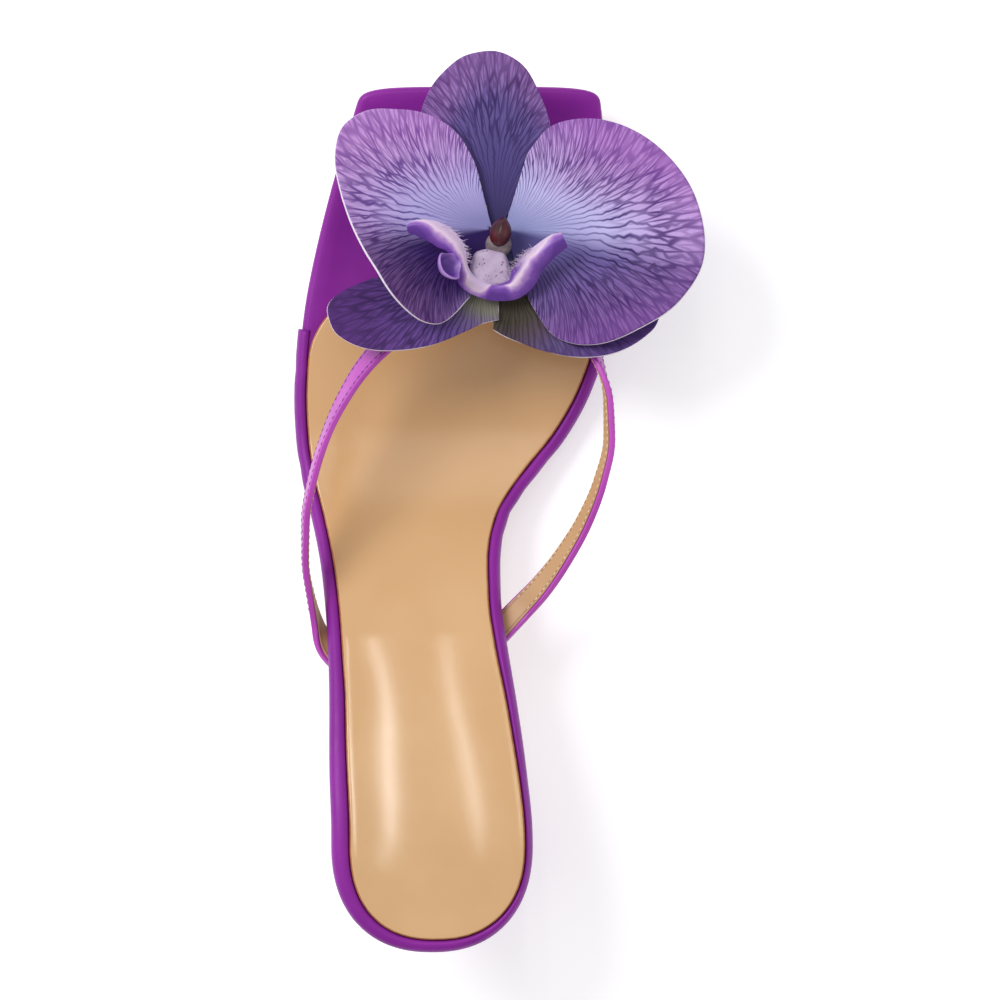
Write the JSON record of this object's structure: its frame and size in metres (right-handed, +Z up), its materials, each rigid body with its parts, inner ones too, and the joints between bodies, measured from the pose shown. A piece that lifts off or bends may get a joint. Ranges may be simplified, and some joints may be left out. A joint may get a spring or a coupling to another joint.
{
  "type": "toe-post mule sandal",
  "caption": "Left toe-post mule sandal with a square toe, kitten heel, slim V straps and a cloth orchid on the toe post.",
  "frame": {"origin": "middle of the shoe's box on the floor plane it stands on", "axes": "+Y from heel to toe, +X towards the inner side of the foot, +Z up"},
  "size_m": [0.1128, 0.245, 0.0565],
  "materials": {
    "outsole": "matte",
    "heel": "semi-gloss",
    "heel_top_piece": "matte",
    "footbed": "semi-gloss",
    "edge_binding": "semi-gloss",
    "sock": "semi-gloss",
    "upper": "semi-gloss",
    "flower_base": "matte",
    "sepal_top": "matte",
    "sepal_left": "matte",
    "sepal_right": "matte",
    "petal_left": "matte",
    "petal_right": "matte",
    "lip": "matte",
    "lip_plate": "matte",
    "column": "matte"
  },
  "bodies": {
    "root": {"outsole": "outsole", "heel": "heel", "heel_top_piece": "heel_top_piece", "footbed": "footbed", "edge_binding": "edge_binding", "sock": "sock", "upper": "upper", "flower_base": "flower_base", "sepal_top": "sepal_top", "sepal_left": "sepal_left", "sepal_right": "sepal_right", "petal_left": "petal_left", "petal_right": "petal_right", "lip": "lip", "lip_plate": "lip_plate", "column": "column"}
  },
  "joints": []
}
